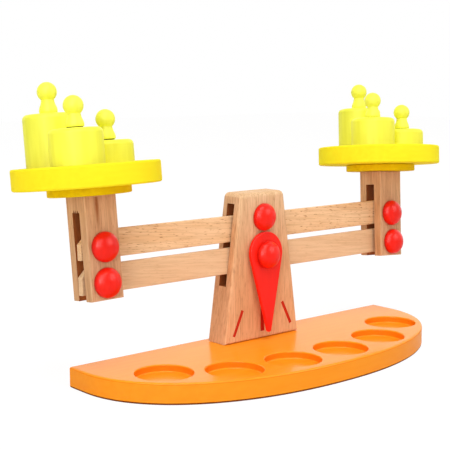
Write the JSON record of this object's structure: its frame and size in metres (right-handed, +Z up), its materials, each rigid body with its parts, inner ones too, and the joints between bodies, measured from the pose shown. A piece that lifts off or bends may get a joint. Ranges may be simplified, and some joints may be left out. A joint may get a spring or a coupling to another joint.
{
  "type": "toy balance scale",
  "caption": "Wooden toy balance: a post on a bowed base with weight recesses, two pivoting beams and forked uprights with round trays, knobbed weights and a drop-shaped pointer.",
  "frame": {"origin": "on the table, under the middle of the post", "axes": "+X along the beams, -Y towards the viewer and the bowed front, +Z up"},
  "size_m": [0.4168, 0.1631, 0.2223],
  "materials": {
    "beech": "bare sanded beech",
    "flecked_beech": "bare beech with short dark flecks",
    "orange_lacquer": "glossy orange lacquer on wood",
    "red_paint": "satin red paint on wood",
    "yellow_stain": "bright yellow stain on wood",
    "tray_yellow": "yellow lacquer on wood",
    "disc_yellow": "deeper yellow lacquer on wood",
    "zinc_steel": "zinc plated"
  },
  "bodies": {
    "base": {"base_plate": "orange_lacquer", "post": "beech", "upper_centre_dowel": "beech", "upper_centre_front_cap": "red_paint", "upper_centre_rear_cap": "red_paint", "base_screw_left": "zinc_steel", "base_screw_right": "zinc_steel"},
    "upper_beam": {"upper_beam": "flecked_beech"},
    "lower_beam": {"lower_beam": "flecked_beech", "lower_centre_dowel": "beech", "lower_centre_front_cap": "red_paint", "lower_centre_rear_cap": "red_paint", "pointer": "red_paint"},
    "left_upright": {"left_upright": "beech", "left_upper_dowel": "beech", "left_upper_front_cap": "red_paint", "left_upper_rear_cap": "red_paint", "left_lower_dowel": "beech", "left_lower_front_cap": "red_paint", "left_lower_rear_cap": "red_paint", "left_tray_peg": "beech", "left_tray_disc": "disc_yellow", "left_tray": "tray_yellow"},
    "right_upright": {"right_upright": "beech", "right_upper_dowel": "beech", "right_upper_front_cap": "red_paint", "right_upper_rear_cap": "red_paint", "right_lower_dowel": "beech", "right_lower_front_cap": "red_paint", "right_lower_rear_cap": "red_paint", "right_tray_peg": "beech", "right_tray_disc": "disc_yellow", "right_tray": "tray_yellow"},
    "left_tall_weight": {"left_tall_weight": "yellow_stain", "left_tall_weight_knob": "yellow_stain"},
    "left_medium_weight": {"left_medium_weight": "yellow_stain", "left_medium_weight_knob": "yellow_stain"},
    "left_small_weight": {"left_small_weight": "yellow_stain", "left_small_weight_knob": "yellow_stain"},
    "right_tall_weight": {"right_tall_weight": "yellow_stain", "right_tall_weight_knob": "yellow_stain"},
    "right_medium_weight": {"right_medium_weight": "yellow_stain", "right_medium_weight_knob": "yellow_stain"},
    "right_small_weight": {"right_small_weight": "yellow_stain", "right_small_weight_knob": "yellow_stain"}
  },
  "joints": [
    {"name": "upper_beam_swing", "type": "hinge", "parent": "base", "child": "upper_beam", "pos_m": [0, 0.00087, 0.115], "axis": [0, -1, 0], "range_deg": [-14.5, 14.5]},
    {"name": "lower_beam_swing", "type": "hinge", "parent": "base", "child": "lower_beam", "pos_m": [0, -0.00032, 0.084], "axis": [0, -1, 0], "range_deg": [-14.5, 14.5]},
    {"name": "left_upright_hinge", "type": "hinge", "parent": "upper_beam", "child": "left_upright", "pos_m": [-0.15204, 0.00117, 0.10556], "axis": [0, -1, 0], "range_deg": [-17.7, 17.7]},
    {"name": "right_upright_hinge", "type": "hinge", "parent": "upper_beam", "child": "right_upright", "pos_m": [0.15315, 0.00104, 0.10423], "axis": [0, -1, 0], "range_deg": [-17.7, 17.7]},
    {"name": "left_tall_weight_lift", "type": "slide", "parent": "left_upright", "child": "left_tall_weight", "axis": [-0.0105, 0.0993, 0.995], "range_m": [0, 0.06]},
    {"name": "left_medium_weight_lift", "type": "slide", "parent": "left_upright", "child": "left_medium_weight", "axis": [-0.0105, 0.0993, 0.995], "range_m": [0, 0.06]},
    {"name": "left_small_weight_lift", "type": "slide", "parent": "left_upright", "child": "left_small_weight", "axis": [-0.0105, 0.0993, 0.995], "range_m": [0, 0.06]},
    {"name": "right_tall_weight_lift", "type": "slide", "parent": "right_upright", "child": "right_tall_weight", "axis": [0.0628, 0.0991, 0.9931], "range_m": [0, 0.06]},
    {"name": "right_medium_weight_lift", "type": "slide", "parent": "right_upright", "child": "right_medium_weight", "axis": [0.0628, 0.0991, 0.9931], "range_m": [0, 0.06]},
    {"name": "right_small_weight_lift", "type": "slide", "parent": "right_upright", "child": "right_small_weight", "axis": [0.0628, 0.0991, 0.9931], "range_m": [0, 0.06]}
  ],
  "couplings": [
    {"joint": "lower_beam_swing", "follows": "upper_beam_swing", "ratio": 1},
    {"joint": "left_upright_hinge", "follows": "upper_beam_swing", "ratio": -1.22},
    {"joint": "right_upright_hinge", "follows": "upper_beam_swing", "ratio": -1.22}
  ]
}
